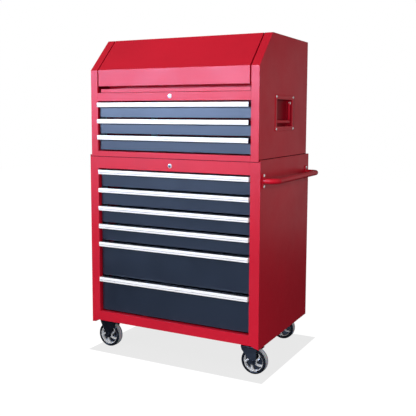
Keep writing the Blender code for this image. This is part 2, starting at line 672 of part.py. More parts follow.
def caster(name, pivot_x, pivot_y, turn, swivel):
    """One caster. `turn` is 1 when the wheel trails towards +x and -1 towards -x."""
    trail = TRAIL if swivel else 0
    hub = (pivot_x + turn * trail, pivot_y, WHEEL_R)
    pivot = (pivot_x, pivot_y, PLATE_TOP)
    crown = FOOT_Z - 0.0005 if swivel else PLATE_TOP - 0.002
    leg = 0.0225
    left, right = (-0.030, 0.055) if swivel else (-0.050, 0.050)

    def x_span(low, high):
        return tuple(sorted((pivot_x + turn * low, pivot_x + turn * high)))

    def around(half):
        return (pivot_y - half, pivot_y + half)

    def at_hub(offset):
        return (hub[0], pivot_y + offset, hub[2])

    fork_name = name + "_fork"
    fork_origin = pivot
    outline = [(pivot_x + turn * left, crown), (pivot_x + turn * (left + 0.006), crown - 0.022)]
    outline += [(hub[0] + turn * (u - hub[0]), v)
                for u, v in arc((hub[0], hub[2]), 0.0155, math.radians(170), math.radians(370), 8)]
    outline += [(pivot_x + turn * (right - 0.008), crown - 0.022), (pivot_x + turn * right, crown)]
    fork = plate(fork_name, outline, (pivot_y - leg - 0.003, pivot_y - leg), "y", fork_origin)
    join(fork,
         plate(name + "_leg", outline, (pivot_y + leg, pivot_y + leg + 0.003), "y"),
         box(name + "_crown", x_span(left + 0.0005, right - 0.0005), around(leg + 0.0025),
             (crown - 0.0035, crown)),
         bar(name + "_axle", at_hub(-leg - 0.005), at_hub(leg + 0.005), 0.005, 16),
         bar(name + "_axle_head", at_hub(-leg - 0.008), at_hub(-leg - 0.002), 0.0085, 6),
         bar(name + "_axle_nut", at_hub(leg + 0.002), at_hub(leg + 0.008), 0.0085, 6))
    top_plate = box(name + "_plate", (pivot_x - 0.048, pivot_x + 0.048), around(0.037),
                    (PLATE_TOP - 0.003, PLATE_TOP), pivot)
    if swivel:
        join(top_plate, bar(name + "_race", (pivot_x, pivot_y, crown + 0.0006),
                            (pivot_x, pivot_y, PLATE_TOP - 0.002), 0.027, 24))
        part(top_plate, BLACK)
        toe = box(name + "_brake", x_span(0.036, 0.070), around(0.0175), (0.1262, 0.1280),
                  (pivot_x + turn * 0.038, pivot_y, 0.1271))
        join(toe, box(name + "_toe", x_span(0.064, 0.074), around(0.0175), (0.1262, 0.1290)))
        part(toe, BLACK)
    else:
        join(fork, top_plate)
    part(fork, BLACK)

    half = WHEEL_W / 2
    rim = turned(name + "_wheel",
                 [(RIM_R, half - 0.002), (RIM_R, 0.002 - half), (0.0455, 0.002 - half), (0.0440, -0.006),
                  (0.0135, -0.008), (0.0130, -half), (0.0053, -half), (0.0053, half), (0.0130, half),
                  (0.0135, 0.008), (0.0440, 0.006), (0.0455, half - 0.002)], hub, 20)
    for i in range(5):
        middle = math.radians(90 + 72 * i)
        window = arc((hub[0], hub[2]), 0.0388, middle - 0.42, middle + 0.42, 2)
        window += arc((hub[0], hub[2]), 0.0185, middle + 0.22, middle - 0.22, 1)
        cut(rim, plate(f"{name}_window_{i}", window, (pivot_y - 0.03, pivot_y + 0.03), "y"))
    part(rim, CHROME)
    tyre = turned(name + "_tyre",
                  [(WHEEL_R, half - 0.004), (WHEEL_R, 0.004 - half), (WHEEL_R - 0.003, -half),
                   (RIM_R + 0.0007, -half), (RIM_R + 0.0007, half), (WHEEL_R - 0.003, half)], hub, 28)
    part(tyre, TYRE)


CHEST_SLOTS = slots(CHEST_OPEN, [CHEST_PITCH] * 3)
TALL_PITCH = (CAB_OPEN[1] - HEAD_GAP - CAB_OPEN[0] - 4 * SMALL_PITCH) / 2
CABINET_SLOTS = slots(CAB_OPEN, [SMALL_PITCH] * 4 + [TALL_PITCH] * 2)

cabinet_shell()
cabinet_top()
cabinet_base()
chest_shell()
chest_floor()
chest_deck()
lid()
lid_hinge()
for side, sign in (("left", -1), ("right", 1)):
    strut(side, sign * STRUT_X)
    slide_rack(f"cabinet_slide_rack_{side}", sign, CABINET_SLOTS, 0.585, (0.045, 0.55))
    slide_rack(f"chest_slide_rack_{side}", sign, CHEST_SLOTS, 0.565, (0.045, 0.53))
    lift_pocket(side, sign)
    lift_handle(side, sign)
for i, slot in enumerate(CHEST_SLOTS, 1):
    drawer(f"chest_drawer_{i}", slot, CHEST_FACE_Y, 0.570)
    pull(f"chest_pull_{i}", slot, CHEST_FACE_Y)
for i, slot in enumerate(CABINET_SLOTS, 1):
    drawer(f"cabinet_drawer_{i}", slot, CAB_FACE_Y, 0.590)
    pull(f"cabinet_pull_{i}", slot, CAB_FACE_Y)
cabinet_lock()
cabinet_lock_bar(CABINET_SLOTS)
chest_lock()
lock_bezel("cabinet_lock_bezel", CAB_LOCK_Z)
lock_bezel("chest_lock_bezel", CHEST_LOCK_Z)
push_handle()
for name, x, y, turn, swivel in (("caster_front_left", -CASTER_X, CASTER_Y, 1, False),
                                 ("caster_rear_left", -CASTER_X, BODY_D - CASTER_Y, 1, False),
                                 ("caster_front_right", CASTER_X, CASTER_Y, 1, True),
                                 ("caster_rear_right", CASTER_X, BODY_D - CASTER_Y, -1, True)):
    caster(name, x, y, turn, swivel)
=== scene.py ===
"""The looks of the rolling tool chest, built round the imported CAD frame.

Lengths are metres. Pieces are laid out in body coordinates (x from the middle of the cabinet, y back from its
front face, z up from the floor) and every mesh is written in the frame's own coordinates.
"""

import math

import bmesh
import bpy
from mathutils import Matrix, Vector


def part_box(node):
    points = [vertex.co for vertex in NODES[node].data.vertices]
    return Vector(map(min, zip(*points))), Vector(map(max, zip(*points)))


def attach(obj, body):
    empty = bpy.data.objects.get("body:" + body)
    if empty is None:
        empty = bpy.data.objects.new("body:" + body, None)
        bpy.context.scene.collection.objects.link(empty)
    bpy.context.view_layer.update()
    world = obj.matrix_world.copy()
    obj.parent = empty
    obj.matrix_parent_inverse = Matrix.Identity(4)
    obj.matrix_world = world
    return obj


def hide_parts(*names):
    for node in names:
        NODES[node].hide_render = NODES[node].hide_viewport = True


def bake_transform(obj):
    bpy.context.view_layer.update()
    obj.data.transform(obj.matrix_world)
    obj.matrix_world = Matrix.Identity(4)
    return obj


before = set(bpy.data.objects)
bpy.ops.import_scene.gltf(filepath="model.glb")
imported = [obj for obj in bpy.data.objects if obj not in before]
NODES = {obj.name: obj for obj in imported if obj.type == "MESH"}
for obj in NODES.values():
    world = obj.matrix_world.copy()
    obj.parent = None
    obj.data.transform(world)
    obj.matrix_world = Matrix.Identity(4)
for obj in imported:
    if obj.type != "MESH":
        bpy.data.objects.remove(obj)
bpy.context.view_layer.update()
TAU = 2 * math.pi
QUARTER_TURN = [math.pi / 2 * i / 6 for i in range(7)]

shell_low, shell_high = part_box("cabinet_shell")
ORIGIN = Vector(((shell_low.x + shell_high.x) / 2, shell_low.y, 0))
ROOT = "chest_body"


def body_box(node):
    """A CAD node's corners in body coordinates."""
    low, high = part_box(node)
    return low - ORIGIN, high - ORIGIN


# ---------------------------------------------------------------- materials


class Material:
    """A Principled material whose sockets take constants or small node chains."""

    def __init__(self, name, colour, roughness=0.4, metallic=0.0, **constants):
        self.material = bpy.data.materials.new(name)
        self.material.use_nodes = True
        self.tree = self.material.node_tree
        self.surface = self.tree.nodes["Principled BSDF"]
        self.surface.inputs["Base Color"].default_value = (*colour, 1)
        self.surface.inputs["Roughness"].default_value = roughness
        self.surface.inputs["Metallic"].default_value = metallic
        for socket, value in constants.items():
            self.surface.inputs[socket.replace("_", " ")].default_value = value
        self.material.diffuse_color = (*colour, 1)
        self.place = self.add("ShaderNodeTexCoord").outputs["Object"]

    def add(self, kind, inputs=None, **settings):
        node = self.tree.nodes.new(kind)
        for key, value in settings.items():
            setattr(node, key, value)
        for key, value in (inputs or {}).items():
            if isinstance(value, bpy.types.NodeSocket):
                self.tree.links.new(value, node.inputs[key])
            else:
                node.inputs[key].default_value = value
        return node

    def stretched(self, scale):
        return self.add("ShaderNodeMapping", {"Vector": self.place, "Scale": scale}).outputs["Vector"]

    def noise(self, scale, detail=2.0, rough=0.5, stretch=None):
        place = self.stretched(stretch) if stretch else self.place
        node = self.add("ShaderNodeTexNoise", {"Vector": place, "Scale": scale, "Detail": detail,
                                               "Roughness": rough})
        return node.outputs["Fac"]

    def cells(self, scale):
        """A random colour for each cell of a broken-up pattern."""
        node = self.add("ShaderNodeTexVoronoi", {"Vector": self.place, "Scale": scale}, feature="F1")
        return node.outputs["Color"]

    def span(self, value, low, high, start=0.0, end=1.0):
        node = self.add("ShaderNodeMapRange", {"Value": value, "From Min": low, "From Max": high,
                                               "To Min": start, "To Max": end})
        return node.outputs["Result"]

    def maths(self, operation, *values):
        return self.add("ShaderNodeMath", dict(enumerate(values)), operation=operation).outputs["Value"]

    def mix(self, factor, first, second):
        node = self.add("ShaderNodeMix", {0: factor}, data_type="RGBA")
        for socket, value in ((6, first), (7, second)):
            if isinstance(value, bpy.types.NodeSocket):
                self.tree.links.new(value, node.inputs[socket])
            else:
                node.inputs[socket].default_value = (*value, 1)
        return node.outputs[2]

    def drive(self, socket, value):
        self.tree.links.new(value, self.surface.inputs[socket])

    def bump(self, *layers):
        """Layers of (height, strength, depth in metres), one over the other."""
        normal = None
        for height, strength, depth in layers:
            node = self.add("ShaderNodeBump", {"Height": height, "Strength": strength, "Distance": depth})
            if normal is not None:
                self.tree.links.new(normal, node.inputs["Normal"])
            normal = node.outputs["Normal"]
        self.drive("Normal", normal)


def tint(colour, factor):
    return tuple(min(1.0, c * factor) for c in colour)


def powder_coat(name, colour, roughness, gloss, worn):
    """Baked enamel: faint cloudy variation, orange peel, handled patches and worn paint on the folds."""
    m = Material(name, colour, roughness, IOR=1.5, Specular_IOR_Level=gloss)
    clouds = m.noise(3.1, 3.0)
    grain = m.noise(620.0, 1.0)
    base = m.mix(m.span(clouds, 0.3, 0.7), tint(colour, 0.93), tint(colour, 1.07))
    base = m.mix(m.span(grain, 0.62, 0.75, 0.0, 0.35), base, tint(colour, 1.35))
    edge = m.add("ShaderNodeBevel", {"Radius": 0.0016}, samples=4).outputs["Normal"]
    face = m.add("ShaderNodeNewGeometry").outputs["Normal"]
    turn = m.add("ShaderNodeVectorMath", {0: edge, 1: face}, operation="DOT_PRODUCT").outputs["Value"]
    scuffs = m.span(m.noise(38.0, 4.0, 0.65), 0.5, 0.72)
    wear = m.maths("MULTIPLY", m.span(turn, 0.995, 0.93), m.span(scuffs, 0.0, 1.0, 0.06, 0.5))
    m.drive("Base Color", m.mix(wear, base, worn))
    handled = m.span(m.noise(7.0, 4.0, 0.6), 0.35, 0.75, roughness - 0.03, roughness + 0.05)
    m.drive("Roughness", m.maths("ADD", handled, m.span(m.noise(150.0, 2.0), 0.4, 0.7, 0.0, 0.04)))
    m.bump((m.noise(310.0, 2.0), 0.08, 0.0004), (grain, 0.04, 0.0002))
    return m.material


def brushed(name, colour, roughness, metallic):
    """Metal with fine lines along x."""
    m = Material(name, colour, roughness, metallic)
    lines = m.noise(1.0, 4.0, 0.7, (3.0, 420.0, 420.0))
    patches = m.noise(9.0, 3.0)
    m.drive("Base Color", m.mix(m.span(lines, 0.3, 0.7), tint(colour, 0.95), tint(colour, 1.04)))
    m.drive("Roughness", m.maths("ADD", m.span(lines, 0.3, 0.7, roughness - 0.04, roughness + 0.06),
                                 m.span(patches, 0.4, 0.7, 0.0, 0.04)))
    m.bump((lines, 0.08, 0.0002))
    return m.material


def plated(name, colour, roughness, metallic=1.0):
    """Polished plating with a faint ripple, haze and dust specks."""
    m = Material(name, colour, roughness, metallic)
    haze = m.noise(24.0, 4.0, 0.6)
    m.drive("Base Color", m.mix(m.span(haze, 0.3, 0.75), tint(colour, 1.04), tint(colour, 0.9)))
    m.drive("Roughness", m.span(haze, 0.35, 0.75, roughness, roughness + 0.12))
    m.bump((m.noise(90.0, 2.0), 0.06, 0.0003), (m.noise(900.0, 1.0), 0.03, 0.0001))
    return m.material


def zinc(name, colour):
    """Zinc plate with soft spangles."""
    m = Material(name, colour, 0.34, 1.0)
    tone = m.add("ShaderNodeSeparateColor", {"Color": m.cells(130.0)}).outputs["Red"]
    m.drive("Base Color", m.mix(m.span(tone, 0.0, 1.0), tint(colour, 0.86), tint(colour, 1.15)))
    m.drive("Roughness", m.maths("ADD", m.span(tone, 0.0, 1.0, 0.26, 0.42),
                                 m.span(m.noise(60.0), 0.4, 0.7, 0.0, 0.06)))
    m.bump((tone, 0.04, 0.0003), (m.noise(500.0, 2.0), 0.06, 0.0001))
    return m.material


def gloss_black(name, colour, roughness):
    """Glossy black finish with soft ripples and a little dust."""
    m = Material(name, colour, roughness, 0.0, Coat_Weight=0.5, Coat_Roughness=0.12)
    dust = m.span(m.noise(55.0, 5.0, 0.7), 0.55, 0.8)
    m.drive("Base Color", m.mix(m.maths("MULTIPLY", dust, 0.35), colour, (0.045, 0.05, 0.06)))
    m.drive("Roughness", m.span(m.noise(20.0, 3.0), 0.3, 0.7, roughness - 0.06, roughness + 0.14))
    m.bump((m.noise(240.0, 2.0), 0.12, 0.0003), (m.noise(25.0, 1.0), 0.2, 0.0004))
    return m.material


def moulded(name, colour, roughness, soft, gloss=0.5):
    """Moulded rubber or plastic: fine matt grain and scuffed patches."""
    m = Material(name, colour, roughness, 0.0, Subsurface_Weight=soft, Subsurface_Scale=0.004,
                 Specular_IOR_Level=gloss)
    grain, scuff = m.noise(900.0, 2.0), m.noise(42.0, 4.0, 0.65)
    m.drive("Base Color", m.mix(m.span(scuff, 0.35, 0.75), tint(colour, 1.05), tint(colour, 0.84)))
    m.drive("Roughness", m.span(scuff, 0.35, 0.75, roughness - 0.07, roughness + 0.12))
    m.bump((grain, 0.18, 0.0003), (m.noise(120.0, 2.0), 0.06, 0.0003))
    return m.material


RED = powder_coat("red_powder_coat", (0.495, 0.0042, 0.0190), 0.38, 0.5, (0.60, 0.03, 0.05))
# painted shade: a darker red for the inside of the lift pockets' dishes, standing in for the shade in them
DISH_SHADE_RED = powder_coat("dish_painted_shade_red", (0.24, 0.0022, 0.0100), 0.45, 0.35, (0.40, 0.02, 0.03))
NAVY = powder_coat("navy_powder_coat", (0.0058, 0.0098, 0.0205), 0.36, 1.0, (0.10, 0.13, 0.19))
ALUMINIUM = brushed("satin_aluminium", (0.93, 0.93, 0.945), 0.36, 0.15)
# painted shade: a dark grey aluminium on the pull's groove faces stands in for the shade inside the groove
PULL_GROOVE_SHADE = brushed("painted_groove_shade", (0.30, 0.28, 0.36), 0.45, 0.5)
CHROME = plated("chrome", (0.80, 0.81, 0.83), 0.07)
BRIGHT = plated("bright_plating", (0.93, 0.93, 0.94), 0.16, 0.4)
ALLOY = plated("wheel_alloy", (0.90, 0.91, 0.93), 0.12, 0.5)
ZINC = zinc("zinc_plate", (0.50, 0.51, 0.52))
STEEL = plated("bright_steel", (0.66, 0.67, 0.69), 0.18)
BLACK = gloss_black("caster_black", (0.003, 0.004, 0.008), 0.20)
STRUT_BLACK = gloss_black("strut_black", (0.012, 0.012, 0.013), 0.32)
# painted shadow: a very dark red for the strip laid along the seam where the chest stands in the cabinet's
# rim
SEAM_SHADE_MATERIAL = moulded("painted_shade_seam_red", (0.028, 0.0012, 0.0035), 0.85, 0.0, 0.05)
TREAD = moulded("grey_tread", (0.40, 0.42, 0.47), 0.38, 0.25)
TREAD_PALE = moulded("pale_core", (0.66, 0.67, 0.72), 0.33, 0.25)

# ---------------------------------------------------------------- mesh helpers


def put(name, bm, materials, body, smooth_angle):
    """Makes the piece from a mesh in body coordinates; it rides on `body`, where one is given."""
    bmesh.ops.translate(bm, verts=bm.verts, vec=ORIGIN)
    bmesh.ops.recalc_face_normals(bm, faces=bm.faces)
    mesh = bpy.data.meshes.new(name)
    bm.to_mesh(mesh)
    bm.free()
    mesh.shade_smooth()
    mesh.set_sharp_from_angle(angle=math.radians(smooth_angle))
    for material in materials if isinstance(materials, (list, tuple)) else [materials]:
        mesh.materials.append(material)
    piece = bpy.data.objects.new(name, mesh)
    bpy.context.scene.collection.objects.link(piece)
    if body:
        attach(piece, body)
    return piece


def soften(piece, width, segments=2, angle=30):
    """Rounds the edges sharper than `angle` degrees."""
    bevel = piece.modifiers.new("edges", "BEVEL")
    bevel.width = width
    bevel.segments = segments
    bevel.limit_method = "ANGLE"
    bevel.angle_limit = math.radians(angle)
    return piece


def add_loop(bm, points):
    return [bm.verts.new(p) for p in points]


def skin(bm, first, second, material=0):
    """Quads between two closed loops of the same length."""
    for i in range(len(first)):
        j = (i + 1) % len(first)
        bm.faces.new((first[i], first[j], second[j], second[i])).material_index = material


def fill(bm, loop, material=0):
    bm.faces.new(loop).material_index = material


def lathe(bm, profile, centre, axis, steps=48, bands=None, closed=False):
    """Turns (radius, offset) points about `axis` through `centre`; `bands` gives each strip's material."""
    axis = Vector(axis).normalized()
    side = axis.orthogonal().normalized()
    other = axis.cross(side)
    loops = []
    for radius, offset in profile:
        if radius < 1e-7:
            tip = bm.verts.new(Vector(centre) + axis * offset)
            loops.append([tip] * steps)
        else:
            loops.append(add_loop(bm, [Vector(centre) + axis * offset + radius * (
                side * math.cos(TAU * i / steps) + other * math.sin(TAU * i / steps)) for i in range(steps)]))
    pairs = list(zip(loops, loops[1:]))
    if closed:
        pairs.append((loops[-1], loops[0]))
    for n, (a, b) in enumerate(pairs):
        band = bands[n] if bands else 0
        for i in range(steps):
            j = (i + 1) % steps
            corners = []
            for vert in (a[i], a[j], b[j], b[i]):
                if vert not in corners:
                    corners.append(vert)
            if len(corners) > 2:
                bm.faces.new(corners).material_index = band


def prism(bm, outline, low, high, across="x", material=0):
    """A closed outline drawn across an axis, between two levels on it."""
    order = {"x": lambda u, v, w: (w, u, v), "y": lambda u, v, w: (u, w, v),
             "z": lambda u, v, w: (u, v, w)}[across]
    near = add_loop(bm, [order(u, v, low) for u, v in outline])
    far = add_loop(bm, [order(u, v, high) for u, v in outline])
    skin(bm, near, far, material)
    fill(bm, near[::-1], material)
    fill(bm, far, material)


def block(bm, x, y, z):
    prism(bm, [(x[0], y[0]), (x[1], y[0]), (x[1], y[1]), (x[0], y[1])], z[0], z[1], "z")


def arc_points(centre, radius, start, stop, steps):
    return [(centre[0] + radius * math.cos(start + (stop - start) * i / steps),
             centre[1] + radius * math.sin(start + (stop - start) * i / steps)) for i in range(steps + 1)]


def rounded_outline(corners, radius, steps):
    """A closed outline with its corners rounded."""
    count = len(corners)
    points = []
    for i, corner in enumerate(corners):
        corner = Vector(corner)
        back = (Vector(corners[i - 1]) - corner).normalized()
        ahead = (Vector(corners[(i + 1) % count]) - corner).normalized()
        half = back.angle(ahead) / 2
        centre = corner + (back + ahead).normalized() * radius / math.sin(half)
        first = corner + back * radius / math.tan(half) - centre
        last = corner + ahead * radius / math.tan(half) - centre
        sweep = first.angle_signed(last)
        for n in range(steps + 1):
            turn = -sweep * n / steps
            points.append(centre + Vector((first.x * math.cos(turn) - first.y * math.sin(turn),
                                           first.x * math.sin(turn) + first.y * math.cos(turn))))
    return [tuple(p) for p in points]


def rectangle(low, high):
    return [(low[0], low[1]), (high[0], low[1]), (high[0], high[1]), (low[0], high[1])]


def rounded_path(corners, radius, steps):
    """An open line in space with its inner corners rounded."""
    corners = [Vector(c) for c in corners]
    path = [corners[0]]
    for before, corner, after in zip(corners, corners[1:], corners[2:]):
        back, ahead = (before - corner).normalized(), (after - corner).normalized()
        half = back.angle(ahead) / 2
        centre = corner + (back + ahead).normalized() * radius / math.sin(half)
        first = (corner + back * radius / math.tan(half) - centre).normalized()
        last = (corner + ahead * radius / math.tan(half) - centre).normalized()
        path += [centre + first.slerp(last, i / steps) * radius for i in range(steps + 1)]
    path.append(corners[-1])
    return path


def tube(bm, path, radius, steps):
    """A round bar along the path, closed at both ends."""
    loops = []
    side = None
    for i, point in enumerate(path):
        ahead = (path[min(i + 1, len(path) - 1)] - path[max(i - 1, 0)]).normalized()
        side = ahead.orthogonal() if side is None else side - ahead * side.dot(ahead)
        side.normalize()
        other = ahead.cross(side)
        loops.append(add_loop(bm, [point + radius * (side * math.cos(TAU * n / steps)
                                                     + other * math.sin(TAU * n / steps))
                                   for n in range(steps)]))
    for a, b in zip(loops, loops[1:]):
        skin(bm, a, b)
    fill(bm, loops[0][::-1])
    fill(bm, loops[-1])


HEAD_SUNK = 0.0006


def dome_head(bm, place, axis, radius, height, steps):
    """A rivet's or carriage bolt's domed head, sitting on a surface at `place`."""
    profile = [(0.0, -HEAD_SUNK), (radius * 0.96, -HEAD_SUNK), (radius, 0.0), (radius, height * 0.15)]
    profile += [(radius * math.cos(a), height * (0.15 + 0.85 * math.sin(a)))
                for a in (0.35, 0.7, 1.05, 1.35)]
    profile.append((0.0, height))
    lathe(bm, profile, place, axis, steps)


def hex_head(bm, place, axis, across, height, washer):
    """A hexagon head `across` its flats on a round washer of radius `washer`."""
    axis = Vector(axis).normalized()
    side = axis.orthogonal().normalized()
    other = axis.cross(side)
    place = Vector(place)
    lathe(bm, [(0, -0.0005), (washer, -0.0005), (washer, 0.0008), (washer - 0.0004, 0.0012), (0, 0.0012)],
          place, axis, 24)
    radius = across / math.sqrt(3)
    loops = []
    for scale, offset in ((1, 0.0), (1, height * 0.82), (0.86, height)):
        loops.append(add_loop(bm, [place + axis * offset + radius * scale * (
            side * math.cos(TAU * i / 6) + other * math.sin(TAU * i / 6)) for i in range(6)]))
    skin(bm, loops[0], loops[1])
    skin(bm, loops[1], loops[2])
    fill(bm, loops[2])
    fill(bm, loops[0][::-1])


def boolean(target, tool, operation):
    """Applies one cut of `tool` to `target`, both throwaway objects, and returns the target."""
    step = target.modifiers.new("cut", "BOOLEAN")
    step.operation = operation
    step.object = tool
    evaluated = target.evaluated_get(bpy.context.evaluated_depsgraph_get())
    mesh = bpy.data.meshes.new_from_object(evaluated)
    target.modifiers.clear()
    target.data = mesh
    bpy.data.objects.remove(tool)
    return target


def scratch(bm):
    """A throwaway object from a mesh."""
    bmesh.ops.recalc_face_normals(bm, faces=bm.faces)
    mesh = bpy.data.meshes.new("scratch")
    bm.to_mesh(mesh)
    bm.free()
    obj = bpy.data.objects.new("scratch", mesh)
    bpy.context.scene.collection.objects.link(obj)
    return obj


def taken(obj):
    """The mesh of a throwaway object as a bmesh."""
    bm = bmesh.new()
    bm.from_mesh(obj.data)
    bpy.data.objects.remove(obj)
    return bm


# ---------------------------------------------------------------- CAD nodes that keep their shape


def dress(node, material, edge=0.0006):
    """Gives a CAD node its finish, flat faces without seams, and rounded edges."""
    obj = NODES[node]
    for held in obj.material_slots:
        held.material = material
    weld = obj.modifiers.new("weld", "WELD")
    weld.merge_threshold = 0.00001
    flat = obj.modifiers.new("planar", "DECIMATE")
    flat.decimate_type = "DISSOLVE"
    flat.angle_limit = math.radians(0.5)
    soften(obj, edge)


FINE_EDGE = 0.0003
for node in ("cabinet_shell", "cabinet_top", "cabinet_base", "chest_shell", "chest_floor", "chest_deck",
             "lid"):
    dress(node, RED)
for node in NODES:
    if "_drawer_" in node:
        dress(node, NAVY)
    elif "slide_rack" in node:
        dress(node, ZINC, FINE_EDGE)
for node in ("lid_hinge", "cabinet_lock_bar"):
    dress(node, ZINC, FINE_EDGE)

# ---------------------------------------------------------------- pulls


PULL_WALL, PULL_NOSE_RADIUS, PULL_NOSE_DEPTH = 0.0022, 0.0022, 0.0095
PULL_CREST_DROP, PULL_FOOT_DROP, PULL_TOE = 0.0012, 0.0016, 0.0010
LEG_FROM_BACK, LEG_SHORT, HOOK_DEPTH = 0.0125, 0.003, 0.0035
GROOVE_RISE, GROOVE_DEPTH, GROOVE_HALF, GROOVE_FLOOR = 0.0068, 0.0011, 0.0012, 0.0008
END_CAP = 0.0012
TOUCH = 0.0001


def pull(kind, number):
    """A full-width extruded section with a rounded nose, a fine groove low on its face and a leg that hooks
    over the drawer front. The groove's faces are dark grey, painted shade. Its top behind the nose is
    black, painted shade of the slit above it, and a chest pull's end caps are dark."""
    node = f"{kind}_pull_{number}"
    low, high = body_box(node)
    nose, top, leg = low.y, high.z, high.y - LEG_FROM_BACK
    foot, crest, line = low.z - PULL_FOOT_DROP, high.z - PULL_CREST_DROP, low.z + GROOVE_RISE
    ledge, inside = nose + PULL_NOSE_DEPTH, leg - PULL_WALL
    outline = [(leg + HOOK_DEPTH, top), (inside, top), (inside, crest), (ledge, crest)]
    outline += [(nose + PULL_NOSE_RADIUS * (1 - math.sin(a)), crest - PULL_NOSE_RADIUS * (1 - math.cos(a)))
                for a in QUARTER_TURN]
    outline += [(nose, line + GROOVE_HALF), (nose + GROOVE_DEPTH, line + GROOVE_FLOOR),
                (nose + GROOVE_DEPTH, line - GROOVE_FLOOR), (nose, line - GROOVE_HALF),
                (nose, foot + PULL_TOE), (nose + 0.3 * PULL_TOE, foot + 0.3 * PULL_TOE),
                (nose + PULL_TOE, foot), (nose + PULL_WALL, foot),
                (nose + PULL_WALL, crest - PULL_WALL), (inside, crest - PULL_WALL),
                (inside, foot + LEG_SHORT), (leg, foot + LEG_SHORT), (leg, top - PULL_WALL),
                (leg + HOOK_DEPTH, top - PULL_WALL)]
    bm = bmesh.new()
    prism(bm, outline, low.x + END_CAP, high.x - END_CAP, "x")
    for face in bm.faces:
        middle = face.calc_center_median()
        if len(face.verts) > 4:
            continue
        # painted shade: the groove's faces take the dark grey groove material
        if middle.y < nose + GROOVE_DEPTH + TOUCH and abs(middle.z - line) < GROOVE_FLOOR + TOUCH:
            face.material_index = 1
        # painted shade: the top behind the nose is black, standing in for the shadowed slit above the pull
        elif middle.z > crest - TOUCH and middle.y > ledge:
            face.material_index = 2
    cap = [(leg, crest), (nose + PULL_NOSE_RADIUS, crest), (nose, crest - PULL_NOSE_RADIUS),
           (nose, foot + PULL_TOE), (nose + PULL_TOE, foot), (leg, foot)]
    for x in (low.x, high.x - END_CAP):
        prism(bm, cap, x, x + END_CAP, "x", 2 if kind == "chest" else 0)
    piece = put(f"{kind}_pull_bar_{number}", bm, [ALUMINIUM, PULL_GROOVE_SHADE, BLACK],
                f"{kind}_drawer_{number}_slider", 30)
    soften(piece, 0.0003, 2, 60)
    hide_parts(node)


DRAWERS = [("chest", n) for n in (1, 2, 3)] + [("cabinet", n) for n in range(1, 7)]
for kind, number in DRAWERS:
    pull(kind, number)

# ---------------------------------------------------------------- drawer slides


SLIDE_RISE, DRAWER_FOOT = 0.028, 0.0064
MEMBER_INNER, MEMBER_OUTER, MEMBER_SHEET = 0.4080, 0.4110, 0.0012
MEMBER_FRONT, MEMBER_BACK_GAP = 0.040, 0.030


def slide_members(kind, number):
    """The pair of middle members, one down each side of the drawer."""
    low, high = body_box(f"{kind}_drawer_{number}")
    level = low.z - DRAWER_FOOT + SLIDE_RISE
    middle = bmesh.new()
    for sign in (-1, 1):
        x_in, x_out = sign * MEMBER_INNER, sign * MEMBER_OUTER
        x_web = x_out - sign * MEMBER_SHEET
        web = [(x_in, level - 0.0150), (x_out, level - 0.0160), (x_out, level + 0.0160),
               (x_in, level + 0.0150), (x_in, level + 0.0141), (x_web, level + 0.0148),
               (x_web, level - 0.0148), (x_in, level - 0.0141)]
        prism(middle, web, MEMBER_FRONT, high.y - MEMBER_BACK_GAP, "y")
    piece = put(f"{kind}_slide_middles_{number}", middle, ZINC, None, 35)
    soften(piece, 0.0002, 1, 50)
    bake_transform(piece)


for kind, number in DRAWERS:
    slide_members(kind, number)

# ---------------------------------------------------------------- casters


def band_profile(rim, crown, half):
    """The tyre's section from its inner side lip over the crown."""
    side = [(rim + 0.0006, 0.0010), (rim + 0.0024, 0.0), (rim + 0.0054, 0.0003), (crown - 0.0030, 0.0016),
            (crown - 0.0012, 0.0042), (crown - 0.0003, 0.0085), (crown, 0.0140)]
    return [(r, y - half) for r, y in side] + [(r, half - y) for r, y in side[::-1]]


SPOKES, STATIONS = 5, 8
SPOKE_ROOT, RIM_DEPTH = 0.0115, 0.0070


